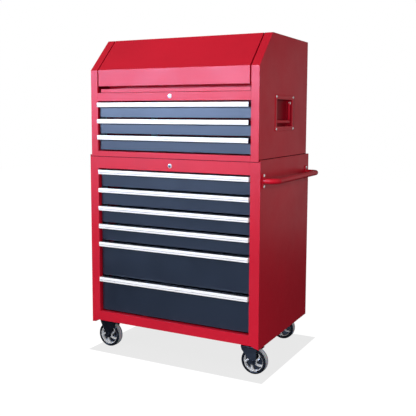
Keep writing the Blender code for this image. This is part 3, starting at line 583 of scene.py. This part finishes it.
def star_wheel(name, hub, body):
    """Rim ring, hub barrel and five swept spokes on each face, inside a tyre with a pale core line."""
    rim_low, rim_high = body_box(name + "_wheel")
    tyre_low, tyre_high = body_box(name + "_tyre")
    rim, crown = (rim_high.z - rim_low.z) / 2, (tyre_high.z - tyre_low.z) / 2
    half = (tyre_high.y - tyre_low.y) / 2
    y = Vector((0, 1, 0))
    bm = bmesh.new()
    lathe(bm, [(rim, 0.002 - half), (rim, half - 0.002), (rim - 0.0028, half - 0.0014),
               (rim - 0.0056, half - 0.0040), (rim - RIM_DEPTH, 0.004), (rim - RIM_DEPTH, -0.004),
               (rim - 0.0056, 0.0040 - half), (rim - 0.0028, 0.0014 - half)],
          hub, y, 64, [1, 1, 0, 0, 0, 0, 0, 1], closed=True)
    lathe(bm, [(0.0053, -half), (0.0118, -half), (0.0132, -half + 0.0015), (0.0150, -half + 0.006),
               (0.0142, 0.0), (0.0150, half - 0.006), (0.0132, half - 0.0015), (0.0118, half),
               (0.0053, half)],
          hub, y, 48, closed=True)
    for sign in (-1, 1):
        for i in range(SPOKES):
            base = TAU * i / SPOKES + math.radians(90)
            stations = []
            for t in [n / STATIONS for n in range(STATIONS + 1)]:
                radius = SPOKE_ROOT + t * (rim - RIM_DEPTH / 2 - SPOKE_ROOT)
                turn = base + 0.10 + 0.62 * t * t
                width = 0.0036 + 0.0034 * t * t + 0.0018 * (1 - t) ** 2
                crest = 0.0178 - 0.0040 * math.sin(math.pi * t) - 0.0012 * t
                stations.append((radius, turn, width, crest))
            loops = []
            for radius, turn, width, crest in stations:
                out = Vector((math.cos(turn), 0, math.sin(turn)))
                across = Vector((-math.sin(turn), 0, math.cos(turn)))
                at = Vector(hub) + out * radius
                ring = [at - across * width + y * sign * (crest - 0.0100),
                        at - across * width + y * sign * (crest - 0.0022),
                        at - across * width * 0.55 + y * sign * crest,
                        at + across * width * 0.10 + y * sign * (crest + 0.0002),
                        at + across * width * 0.70 + y * sign * (crest - 0.0020),
                        at + across * width + y * sign * (crest - 0.0050),
                        at + across * width + y * sign * (crest - 0.0100)]
                loops.append(add_loop(bm, ring))
            for a, b in zip(loops, loops[1:]):
                skin(bm, a, b)
            fill(bm, loops[0])
            fill(bm, loops[-1])
    web = rim - RIM_DEPTH - 0.0003
    lathe(bm, [(web, -0.0025), (web, 0.0025), (0.0140, 0.0018), (0.0140, -0.0018)], hub, y, 48, [1, 1, 1, 1],
          closed=True)
    piece = put(name + "_star", bm, [ALLOY, BLACK], body, 40)
    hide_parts(name + "_wheel")
    bm = bmesh.new()
    lathe(bm, band_profile(rim, crown, half) + [(rim + 0.0006, 0.0)], hub, y, 72,
          [1, 1, 1, 1, 0, 0, 2, 0, 0, 1, 1, 1, 1, 1, 1], closed=True)
    tyre = put(name + "_tread", bm, [TREAD, BLACK, TREAD_PALE], body, 40)
    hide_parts(name + "_tyre")


FORK_LEG, FORK_SHEET, FORK_BEND, FORK_CUT, FORK_EYE = 0.0225, 0.003, 0.006, 0.02, 0.0155
PLATE_HALF_X, PLATE_HALF_Y, PLATE_SHEET, PLATE_CORNER = 0.048, 0.037, 0.003, 0.008
BOLT_X, BOLT_Y = 0.038, 0.028
PEDAL_HALF, PEDAL_RIBS, RIB_PITCH, RIB_WIDTH = 0.0170, 5, 0.0032, 0.0014


def channel_line(middle, half, level, radius):
    """Up one leg of a fork, over its rounded crown and down the other."""
    line = [(middle - half, FORK_CUT)]
    line += [(middle - half + radius * (1 - math.cos(a)), level + radius * math.sin(a)) for a in QUARTER_TURN]
    line += [(middle + half - radius * (1 - math.sin(a)), level + radius * math.cos(a)) for a in QUARTER_TURN]
    return line + [(middle + half, FORK_CUT)]


def caster(place, swivel):
    """Wheel, pressed fork, axle bolt and top plate; a swivel caster adds a race, a king nut and a pedal."""
    name = "caster_" + place
    low, high = body_box(name + "_wheel")
    hub = (low + high) / 2
    fork_low, fork_high = body_box(name + "_fork")
    centre_y = hub.y
    fork_body = f"{place}_fork_body" if swivel else ROOT
    star_wheel(name, hub, f"{place}_wheel_body")

    if swivel:
        plate_low, plate_high = body_box(name + "_plate")
        pivot_x, plate_top, crown = (plate_low.x + plate_high.x) / 2, plate_high.z, fork_high.z
        turn = 1 if place.startswith("front") else -1
        left, right = -0.030, 0.055
    else:
        pivot_x, plate_top, crown = hub.x, fork_high.z, fork_high.z - 0.002
        turn = 1 if hub.x > (fork_low.x + fork_high.x) / 2 - TOUCH else -1
        left, right = -0.050, 0.050
    reach = FORK_LEG + FORK_SHEET
    outer = channel_line(centre_y, reach, crown - FORK_BEND, FORK_BEND)
    inner = channel_line(centre_y, FORK_LEG, crown - FORK_BEND, FORK_BEND - FORK_SHEET)[::-1]
    channel = bmesh.new()
    prism(channel, outer + inner, pivot_x - 0.09, pivot_x + 0.09, "x")
    eye = arc_points((hub.x, hub.z), FORK_EYE, math.radians(168), math.radians(372), 16)
    eye = [(hub.x + turn * (u - hub.x), v) for u, v in eye]
    side_outline = [(pivot_x + turn * left, crown + 0.01), (pivot_x + turn * left, crown - 0.005),
                    (pivot_x + turn * (left + 0.004), crown - 0.020), *eye,
                    (pivot_x + turn * (right - 0.006), crown - 0.020),
                    (pivot_x + turn * right, crown - 0.005), (pivot_x + turn * right, crown + 0.01)]
    cutter = bmesh.new()
    prism(cutter, side_outline, centre_y - 0.06, centre_y + 0.06, "y")
    fork = boolean(scratch(channel), scratch(cutter), "INTERSECT")
    bm = taken(fork)
    bmesh.ops.dissolve_limit(bm, angle_limit=0.01, verts=bm.verts, edges=bm.edges)
    piece = put(name + "_fork_pressing", bm, BLACK, fork_body, 40)
    soften(piece, 0.0007, 3, 40)
    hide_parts(name + "_fork")

    bm = bmesh.new()
    for sign in (-1, 1):
        face_y = centre_y + sign * reach
        hex_head(bm, (hub.x, face_y + sign * 0.0005, hub.z), (0, sign, 0), 0.0150, 0.0042, 0.0092)
        tip = face_y + sign * 0.005
        lathe(bm, [(0.0, -0.001), (0.0042, -0.001), (0.0042, 0.0018), (0.0036, 0.0025), (0.0, 0.0025)],
              (hub.x, tip, hub.z), (0, sign, 0), 20)
    pin = FORK_LEG + 0.0005
    lathe(bm, [(0.0050, -pin), (0.0050, pin), (0.0, pin), (0.0, -pin)], hub, (0, 1, 0), 20)
    for sign in (-1, 1):
        lathe(bm, [(0.0051, 0.0195), (0.0100, 0.0195), (0.0106, 0.0206), (0.0100, 0.0222), (0.0051, 0.0222)],
              hub, (0, sign, 0), 28, closed=True)
    put(name + "_axle_bolt", bm, BLACK, fork_body, 30)

    bm = bmesh.new()
    outline = rectangle((pivot_x - PLATE_HALF_X, centre_y - PLATE_HALF_Y),
                        (pivot_x + PLATE_HALF_X, centre_y + PLATE_HALF_Y))
    prism(bm, rounded_outline(outline, PLATE_CORNER, 5), plate_top - PLATE_SHEET, plate_top, "z")
    if swivel:
        lathe(bm, [(0.0, -0.0035), (0.0285, -0.0035), (0.0285, -0.0060), (0.0262, -0.0085), (0.0255, -0.0110),
                   (0.0272, -0.0128), (0.0268, -0.0148), (0.0, -0.0148)],
              (pivot_x, centre_y, plate_top), (0, 0, 1), 48)
    plate = put(name + "_top_plate", bm, BLACK, ROOT, 35)
    soften(plate, 0.0004, 2, 40)
    if swivel:
        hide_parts(name + "_plate")
    bm = bmesh.new()
    for dx in (-BOLT_X, BOLT_X):
        for dy in (-BOLT_Y, BOLT_Y):
            hex_head(bm, (pivot_x + dx, centre_y + dy, plate_top - PLATE_SHEET - 0.0002), (0, 0, -1), 0.0125,
                     0.0050, 0.0085)
    put(name + "_plate_bolts", bm, STEEL, ROOT, 30)

    if swivel:
        bm = bmesh.new()
        hex_head(bm, (pivot_x, centre_y, crown - FORK_SHEET - 0.0006), (0, 0, -1), 0.0170, 0.0060, 0.0115)
        put(name + "_king_nut", bm, STEEL, fork_body, 30)
        low, high = body_box(name + "_brake")
        inner_x, tip_x = (low.x, high.x) if turn > 0 else (high.x, low.x)
        bm = bmesh.new()
        line = [(inner_x, low.z), (inner_x + turn * 0.026, low.z), (tip_x - turn * 0.002, low.z + 0.0006),
                (tip_x, low.z + 0.0016), (tip_x, high.z), (tip_x - turn * 0.004, high.z),
                (tip_x - turn * 0.008, low.z + 0.0021), (inner_x, low.z + 0.0020)]
        prism(bm, line, centre_y - PEDAL_HALF, centre_y + PEDAL_HALF, "y")
        for n in range(PEDAL_RIBS):
            x = tip_x - turn * (0.011 + RIB_PITCH * n)
            block(bm, tuple(sorted((x, x - turn * RIB_WIDTH))), (centre_y - 0.014, centre_y + 0.014),
                  (low.z + 0.0018, low.z + 0.0027))
        lathe(bm, [(0.0, -0.0172), (0.0022, -0.0172), (0.0022, 0.0172), (0.0, 0.0172)],
              (inner_x + turn * 0.0025, centre_y, low.z + 0.0012), (0, 1, 0), 16)
        brake = put(name + "_brake_pedal", bm, BLACK, f"{place}_brake_body", 35)
        soften(brake, 0.0003, 2, 50)
        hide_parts(name + "_brake")


for place in ("front_left", "rear_left", "front_right", "rear_right"):
    caster(place, place.endswith("right"))

# ---------------------------------------------------------------- push handle


BAR_RADIUS, BAR_BEND = 0.0127, 0.034
FLANGE_HALF, FLANGE_SHEET, FLANGE_CORNER, BOLT_INSET = 0.018, 0.0035, 0.007, 0.0096


def push_handle():
    """A bent tube between two upright flanges, with a weld ring at each and two bolts through each."""
    low, high = body_box("push_handle")
    level, half, start = (low.z + high.z) / 2, (high.z - low.z) / 2, low.x
    near, far, reach = low.y + FLANGE_HALF, high.y - FLANGE_HALF, high.x - BAR_RADIUS
    path = rounded_path([(start + 0.003, near, level), (reach, near, level), (reach, far, level),
                         (start + 0.003, far, level)], BAR_BEND, 14)
    bm = bmesh.new()
    tube(bm, path, BAR_RADIUS, 28)
    for y in (near, far):
        outline = rectangle((y - FLANGE_HALF, level - half), (y + FLANGE_HALF, level + half))
        prism(bm, rounded_outline(outline, FLANGE_CORNER, 6), start, start + FLANGE_SHEET, "x")
        lathe(bm, [(BAR_RADIUS - 0.001, 0.0), (BAR_RADIUS + 0.0030, 0.0), (BAR_RADIUS + 0.0022, 0.0010),
                   (BAR_RADIUS + 0.0010, 0.0022), (BAR_RADIUS - 0.001, 0.0040)],
              (start + FLANGE_SHEET - 0.0001, y, level), (1, 0, 0), 28, closed=True)
    piece = put("push_handle_tube", bm, RED, ROOT, 40)
    soften(piece, 0.0006, 2, 50)
    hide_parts("push_handle")
    bm = bmesh.new()
    for y in (near, far):
        for offset in (BOLT_INSET - half, half - BOLT_INSET):
            dome_head(bm, (start + FLANGE_SHEET, y, level + offset), (1, 0, 0), 0.0070, 0.0046, 24)
    put("push_handle_bolts", bm, BRIGHT, ROOT, 30)


push_handle()

# ---------------------------------------------------------------- lift pockets and bails


POCKET_Y, POCKET_Z = (0.2105, 0.406), (1.140, 1.267)


def rounded_loop(x, y, z, radius):
    return [(x, u, v) for u, v in rounded_outline(rectangle((y[0], z[0]), (y[1], z[1])), radius, 5)]


def grown(span, amount):
    return (span[0] - amount, span[1] + amount)


def lift_pocket(side, sign):
    """A pressed dish with a riveted flange, as loops from the flange's edge to the floor of the dish.
    Its inner walls and floor take a darker red as painted shade.
    """
    low, high = body_box(f"lift_pocket_{side}")
    face = high.x if sign > 0 else low.x
    deep = (low.x if sign > 0 else high.x) + sign * 0.0015
    y, z = POCKET_Y, POCKET_Z
    flange_y, flange_z = (low.y, high.y), (low.z, high.z)
    flange = face - sign * 0.0006
    levels = [(face - sign * 0.0016, flange_y, flange_z, 0.007),
              (face - sign * 0.0009, flange_y, flange_z, 0.007),
              (flange, grown(flange_y, -0.0004), grown(flange_z, -0.0004), 0.0066),
              (flange, grown(y, 0.0016), grown(z, 0.0016), 0.0056),
              (face - sign * 0.0009, grown(y, 0.0007), grown(z, 0.0007), 0.0047),
              (face - sign * 0.0016, grown(y, 0.0001), grown(z, 0.0001), 0.0041),
              (face - sign * 0.0030, y, z, 0.004),
              (deep + sign * 0.0030, grown(y, -0.0003), grown(z, -0.0003), 0.004),
              (deep + sign * 0.0010, grown(y, -0.0010), grown(z, -0.0010), 0.004),
              (deep + sign * 0.0003, grown(y, -0.0025), grown(z, -0.0025), 0.003),
              (deep, grown(y, -0.0045), grown(z, -0.0045), 0.002)]
    bm = bmesh.new()
    loops = [add_loop(bm, rounded_loop(*level)) for level in levels]
    for n, (a, b) in enumerate(zip(loops, loops[1:])):
        # painted shade: the inner walls and floor get the darker red
        skin(bm, a, b, 1 if n > 4 else 0)
    fill(bm, loops[-1], 1)
    back = [add_loop(bm, rounded_loop(*level)) for level in (
        (face - sign * 0.0016, grown(y, 0.0012), grown(z, 0.0012), 0.0052),
        (deep - sign * 0.0012, grown(y, 0.0010), grown(z, 0.0010), 0.005))]
    skin(bm, loops[0], back[0])
    skin(bm, back[0], back[1])
    fill(bm, back[1])
    piece = put(f"lift_pocket_dish_{side}", bm, [RED, DISH_SHADE_RED], ROOT, 50)
    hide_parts(f"lift_pocket_{side}")
    bm = bmesh.new()
    for u in (flange_y[0] + 0.0170, flange_y[1] - 0.0185):
        for v in (flange_z[0] + 0.0112, flange_z[1] - 0.0098):
            dome_head(bm, (flange, u, v), (sign, 0, 0), 0.0064, 0.0034, 20)
    put(f"lift_pocket_rivets_{side}", bm, BRIGHT, ROOT, 30)


BAIL_X, BAIL_Z, BAIL_Y = 0.442, 1.252, (0.2185, 0.398)
BAIL_WIRE, BAIL_BEND, BAIL_EAR, GRIP_RADIUS = 0.004, 0.006, 0.0075, 0.0090


def lift_handle(side, sign):
    """A wire bail with a thick grip, hung from two pins in the pocket's ends."""
    node = f"lift_handle_{side}"
    x, grip_z = sign * BAIL_X, body_box(node)[0].z + GRIP_RADIUS
    near, far = BAIL_Y
    body = f"lift_handle_{side}_bail"
    bm = bmesh.new()
    path = rounded_path([(x, near - BAIL_EAR, BAIL_Z), (x, near, BAIL_Z), (x, near, grip_z), (x, far, grip_z),
                         (x, far, BAIL_Z), (x, far + BAIL_EAR, BAIL_Z)], BAIL_BEND, 6)
    tube(bm, path, BAIL_WIRE, 16)
    bail = put(f"lift_bail_{side}", bm, RED, body, 40)
    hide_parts(node)
    bm = bmesh.new()
    end = [(near + 0.0018, 0.0050), (near + 0.0022, 0.0072), (near + 0.0034, 0.0085),
           (near + 0.0055, GRIP_RADIUS)]
    middle = (near + far) / 2
    rings = end + [(middle + step, GRIP_RADIUS) for step in (-0.03, 0, 0.03)]
    rings += [(near + far - y, r) for y, r in end[::-1]]
    lathe(bm, [(0.0, rings[0][0])] + [(r, y) for y, r in rings] + [(0.0, rings[-1][0])],
          (x, 0, grip_z), (0, 1, 0), 28)
    put(f"lift_grip_{side}", bm, RED, body, 40)
    bm = bmesh.new()
    for y, way in ((near - BAIL_EAR + TOUCH, 1), (far + BAIL_EAR - TOUCH, -1)):
        lathe(bm, [(0.0, 0.0), (0.0062, 0.0), (0.0068, 0.0008), (0.0066, 0.0020), (0.0042, 0.0030),
                   (0.0, 0.0030)],
              (x, y, BAIL_Z), (0, way, 0), 24)
    put(f"lift_pivot_pins_{side}", bm, BRIGHT, ROOT, 30)


for side, sign in (("left", -1), ("right", 1)):
    lift_pocket(side, sign)
    lift_handle(side, sign)

# ---------------------------------------------------------------- locks


CRANK_REACH = 0.014 * math.sqrt(0.5)


def lock(node, body, turn):
    """A bezel, and a plug with its shaft and a key slot at `turn` degrees. The chest's lock has a flat cam
    behind its plug, and the cabinet's a crank with a pin at the end of its long shaft."""
    bezel_low, bezel_high = body_box(node + "_bezel")
    z = (bezel_low.z + bezel_high.z) / 2
    tail = body_box(node)[1].y
    outward, inward = (0, -1, 0), (0, 1, 0)
    bm = bmesh.new()
    lathe(bm, [(0.0083, -0.0003), (0.0114, -0.0003), (0.0114, 0.0004), (0.0108, 0.0014), (0.0097, 0.0024),
               (0.0089, 0.0027), (0.0083, 0.0023)], (0, 0, z), outward, 48, closed=True)
    ring = put(node + "_ring", bm, BRIGHT, ROOT, 40)
    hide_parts(node + "_bezel")
    bm = bmesh.new()
    lathe(bm, [(0.0, -0.028), (0.0079, -0.028), (0.0079, 0.0030), (0.0074, 0.0038), (0.0062, 0.0040),
               (0.0058, 0.0036), (0.0, 0.0036)], (0, 0, z), outward, 48)
    lathe(bm, [(0.0, 0.02), (0.003, 0.02), (0.003, tail - 0.001), (0.0, tail - 0.001)], (0, 0, z), inward, 20)
    plug = scratch(bm)
    cutter = bmesh.new()
    slot = rounded_outline(rectangle((-0.0009, -0.0044), (0.0009, 0.0044)), 0.0007, 3)
    prism(cutter, slot, -0.006, 0.002, "y")
    spin = Matrix.Rotation(math.radians(turn), 4, "Y")
    bmesh.ops.transform(cutter, matrix=Matrix.Translation((0, 0, z)) @ spin, verts=cutter.verts)
    bm = taken(boolean(plug, scratch(cutter), "DIFFERENCE"))
    if node == "chest_lock":
        outline = rounded_outline(rectangle((-0.0048, z - 0.005), (0.0256, z + 0.005)), 0.003, 4)
        prism(bm, outline, 0.0366, 0.0392, "y")
    else:
        outline = [(-0.004, z - 0.004), (CRANK_REACH - 0.003, z - CRANK_REACH - 0.005),
                   (CRANK_REACH + 0.005, z - CRANK_REACH + 0.003), (0.004, z + 0.004)]
        prism(bm, rounded_outline(outline, 0.002, 3), 0.6032, 0.6063, "y")
        lathe(bm, [(0.0, 0.6040), (0.0025, 0.6040), (0.0025, 0.6136), (0.0, 0.6136)],
              (CRANK_REACH, 0, z - CRANK_REACH), inward, 16)
    piece = put(node + "_cylinder", bm, STEEL, body, 35)
    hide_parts(node)


lock("cabinet_lock", "cabinet_lock_plug", 50)
lock("chest_lock", "chest_lock_plug", 0)

# ---------------------------------------------------------------- gas struts


STRUT_FOOT, STRUT_HEAD = (0.560, 1.305), (0.534, 1.545)


def strut(side):
    """A gas strut's cylinder with its lower eye, and the rod with its upper eye."""
    low, high = body_box(f"lid_strut_{side}_cylinder")
    x = (low.x + high.x) / 2
    foot, head = Vector((x, *STRUT_FOOT)), Vector((x, *STRUT_HEAD))
    axis = (head - foot).normalized()
    outward = Vector((math.copysign(1, x), 0, 0))
    bm = bmesh.new()
    lathe(bm, [(0.0, 0.013), (0.0058, 0.013), (0.0074, 0.016), (0.0080, 0.019), (0.0080, 0.146),
               (0.0076, 0.149), (0.0066, 0.150), (0.0044, 0.150), (0.0044, 0.060), (0.0, 0.060)],
          foot, axis, 32)
    lathe(bm, [(0.0, 0.004), (0.0046, 0.005), (0.0046, 0.014), (0.0, 0.014)], foot, axis, 20)
    lathe(bm, [(0.0039, -0.0038), (0.0080, -0.0038), (0.0085, -0.0030), (0.0085, 0.0030), (0.0080, 0.0038),
               (0.0039, 0.0038)], foot, outward, 28, closed=True)
    piece = put(f"strut_{side}_tube", bm, STRUT_BLACK, f"strut_{side}_cylinder_body", 35)
    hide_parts(f"lid_strut_{side}_cylinder")
    length = (head - foot).length
    bm = bmesh.new()
    lathe(bm, [(0.0, 0.062), (0.0036, 0.062), (0.0040, 0.063), (0.0040, length - 0.004),
               (0.0, length - 0.004)],
          foot, axis, 24)
    lathe(bm, [(0.0, -0.0043), (0.0072, -0.0043), (0.0080, -0.0035), (0.0080, 0.0028), (0.0072, 0.0037),
               (0.0, 0.0037)], head, outward, 28)
    piece = put(f"strut_{side}_piston_rod", bm, CHROME, f"strut_{side}_rod_body", 35)
    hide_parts(f"lid_strut_{side}_rod")


for side in ("left", "right"):
    strut(side)

# ---------------------------------------------------------------- painted shadow along the seam between chest and cabinet


def paint_seam_shade():
    """A very dark red strip of painted shadow, in front and down each side,
    where the chest stands in the cabinet's rim.
    """
    low, high = body_box("chest_shell")
    rim = body_box("cabinet_shell")[1].z
    bm = bmesh.new()
    block(bm, (low.x, high.x), (-0.0003, 0.0012), (low.z - 0.0018, low.z + 0.0007))
    for x in ((low.x - 0.0006, low.x + 0.0004), (high.x - 0.0004, high.x + 0.0006)):
        block(bm, x, (0.0015, high.y - 0.002), (rim - 0.0030, rim + 0.0026))
    put("chest_seam_shadow_piece", bm, SEAM_SHADE_MATERIAL, ROOT, 35)


paint_seam_shade()

# ---------------------------------------------------------------- rivets and screws on the sheet metal


RIVET_FOOT, RIVET_PITCH, RIVETS, RIVET_INSET = 1.03, 0.0985, 6, 0.014


def rivet_rows():
    """Rivets down the edges of the chest's back, which stands forward of the cabinet's."""
    chest_low, chest_high = body_box("chest_shell")
    bm = bmesh.new()
    for z in [RIVET_FOOT + i * RIVET_PITCH for i in range(RIVETS)]:
        for x in (chest_low.x + RIVET_INSET, chest_high.x - RIVET_INSET):
            dome_head(bm, (x, chest_high.y, z), (0, 1, 0), 0.0036, 0.0015, 14)
    put("chest_back_rivets", bm, STEEL, ROOT, 30)


rivet_rows()

# ---------------------------------------------------------------- camera, floor and light

camera = bpy.data.objects.new("camera", bpy.data.cameras.new("camera"))
bpy.context.scene.collection.objects.link(camera)
bpy.context.scene.camera = camera
YAW, PITCH, ROLL = math.radians(27.36), math.radians(5.88), math.radians(0.23)
EYE = Vector((1.5994, -2.6983, 1.1907))
camera.data.sensor_width = 36.0
camera.data.lens = 57.626
camera.data.shift_y = -0.0577
camera.data.clip_end = 60.0
ahead = Vector((-math.sin(YAW) * math.cos(PITCH), math.cos(YAW) * math.cos(PITCH), -math.sin(PITCH)))
right = Vector((math.cos(YAW), math.sin(YAW), 0))
up = right.cross(ahead)
right, up = right * math.cos(ROLL) + up * math.sin(ROLL), up * math.cos(ROLL) - right * math.sin(ROLL)
turn = Matrix((right, up, -ahead)).transposed().to_4x4()
camera.matrix_world = Matrix.Translation(EYE + ORIGIN) @ turn


def stage_plane(name, corners, level, material):
    """A flat part of the floor that shows to the camera but neither shades nor lights the object."""
    bm = bmesh.new()
    fill(bm, add_loop(bm, [(x, y, level) for x, y in corners]))
    mesh = bpy.data.meshes.new(name)
    bm.to_mesh(mesh)
    bm.free()
    mesh.materials.append(material)
    plane = bpy.data.objects.new(name, mesh)
    bpy.context.scene.collection.objects.link(plane)
    plane.visible_glossy = plane.visible_diffuse = plane.visible_shadow = False


def stage_material(name, glow, diffuse):
    """A pale floor, mostly self-lit, so that only a soft share of the shadows shows."""
    m = Material(name, (diffuse,) * 3, 0.9)
    m.surface.inputs["Specular IOR Level"].default_value = 0.0
    m.surface.inputs["Emission Color"].default_value = (1, 1, 1, 1)
    m.surface.inputs["Emission Strength"].default_value = glow
    m.drive("Base Color", m.mix(m.noise(2.0), (diffuse * 0.99,) * 3, (diffuse,) * 3))
    return m.material


FLOOR_HALF, FLOOR_DROP = 9, 0.0020
PATCH = [(-0.456, -0.045), (0.500, -0.045), (0.511, 0.676), (-0.445, 0.676)]
stage_plane("floor", rectangle((-FLOOR_HALF, -FLOOR_HALF), (FLOOR_HALF, FLOOR_HALF)), -FLOOR_DROP,
            stage_material("floor_white", 1.0, 0.05))
stage_plane("floor_patch", [(ORIGIN.x + x, ORIGIN.y + y) for x, y in PATCH], 0.0,
            stage_material("floor_grey", 0.79, 0.035))


def area_light(name, place, target, size, radiance, colour, glossy):
    """A rectangular panel that gives either diffuse light or gloss; radiance doesn't depend on its size."""
    light = bpy.data.lights.new(name, "AREA")
    light.shape = "RECTANGLE"
    light.size, light.size_y = size
    light.energy = radiance * math.pi * size[0] * size[1]
    light.color = colour
    lamp = bpy.data.objects.new(name, light)
    bpy.context.scene.collection.objects.link(lamp)
    place, target = Vector(place), Vector(target)
    aim = (target - place).to_track_quat("-Z", "Y").to_matrix().to_4x4()
    lamp.matrix_world = Matrix.Translation(place) @ aim
    lamp.visible_diffuse, lamp.visible_glossy = not glossy, glossy


WHITE, SHEEN = (1, 1, 1), (0.73, 1.0, 1.6)
AMBIENT = 0.14
# name: place, target, size, radiance
DIFFUSE_PANELS = {
    "key_left": ((-1.9, -5.0, 1.9), (0, 0, 1.0), (2.0, 1.6), 11.6),
    "key_right": ((1.7, -4.6, 1.2), (0, 0, 0.8), (2.0, 1.6), 12.6),
    "key_high": ((-0.9, -2.6, 3.4), (0, 0, 1.1), (2.2, 1.4), 4.7),
    "fill_right": ((3.2, -0.9, 1.6), (0.3, 0, 0.9), (1.8, 2.0), 2.3),
    "back_fill": ((-1.6, 5.0, 2.2), (0, 0.6, 0.9), (2.4, 2.0), 5.0),
    "left_fill": ((-4.2, 0.7, 1.8), (-0.4, 0.3, 0.9), (1.8, 2.0), 4.0),
}
# name: place, target, size, radiance, colour
GLOSS_PANELS = {
    "sheen_low": ((-0.7, -3.0, -0.85), (-0.7, 0, -0.85), (2.4, 0.5), 0.6, SHEEN),
    "sheen_high": ((-1.7, -3.0, 1.7), (-1.7, 0, 1.7), (3.6, 0.6), 14.2, SHEEN),
    "side_sheen": ((1.8, 2.9, 1.4), (0.4, 0, 1.4), (2.2, 1.0), 0.27, WHITE),
    "side_low": ((1.8, 2.9, 0.45), (0.4, 0, 0.45), (2.2, 0.8), 0.32, WHITE),
}
for name, panel in DIFFUSE_PANELS.items():
    area_light(name, *panel, WHITE, glossy=False)
for name, panel in GLOSS_PANELS.items():
    area_light(name, *panel, glossy=True)

world = bpy.data.worlds.new("studio")
bpy.context.scene.world = world
world.use_nodes = True
tree = world.node_tree
tree.nodes.clear()
output = tree.nodes.new("ShaderNodeOutputWorld")
mixer = tree.nodes.new("ShaderNodeMixShader")
paths = tree.nodes.new("ShaderNodeLightPath")
backdrop = tree.nodes.new("ShaderNodeBackground")
backdrop.inputs["Color"].default_value = (1, 1, 1, 1)
backdrop.inputs["Strength"].default_value = 1.0
ambient = tree.nodes.new("ShaderNodeBackground")
place = tree.nodes.new("ShaderNodeTexCoord")
split = tree.nodes.new("ShaderNodeSeparateXYZ")
ramp = tree.nodes.new("ShaderNodeValToRGB")
ramp.color_ramp.elements[0].position = 0.42
ramp.color_ramp.elements[0].color = (0.25, 0.25, 0.26, 1)
ramp.color_ramp.elements[1].position = 0.62
ramp.color_ramp.elements[1].color = (1, 1, 1, 1)
ambient.inputs["Strength"].default_value = AMBIENT
spread = tree.nodes.new("ShaderNodeMapRange")
spread.inputs["From Min"].default_value = -1.0
spread.inputs["From Max"].default_value = 1.0
for a, b in ((place.outputs["Generated"], split.inputs["Vector"]),
             (split.outputs["Z"], spread.inputs["Value"]), (spread.outputs["Result"], ramp.inputs["Fac"]),
             (ramp.outputs["Color"], ambient.inputs["Color"]),
             (paths.outputs["Is Camera Ray"], mixer.inputs["Fac"]), (ambient.outputs[0], mixer.inputs[1]),
             (backdrop.outputs[0], mixer.inputs[2]), (mixer.outputs[0], output.inputs["Surface"])):
    tree.links.new(a, b)

bpy.context.scene.view_settings.view_transform = "Standard"
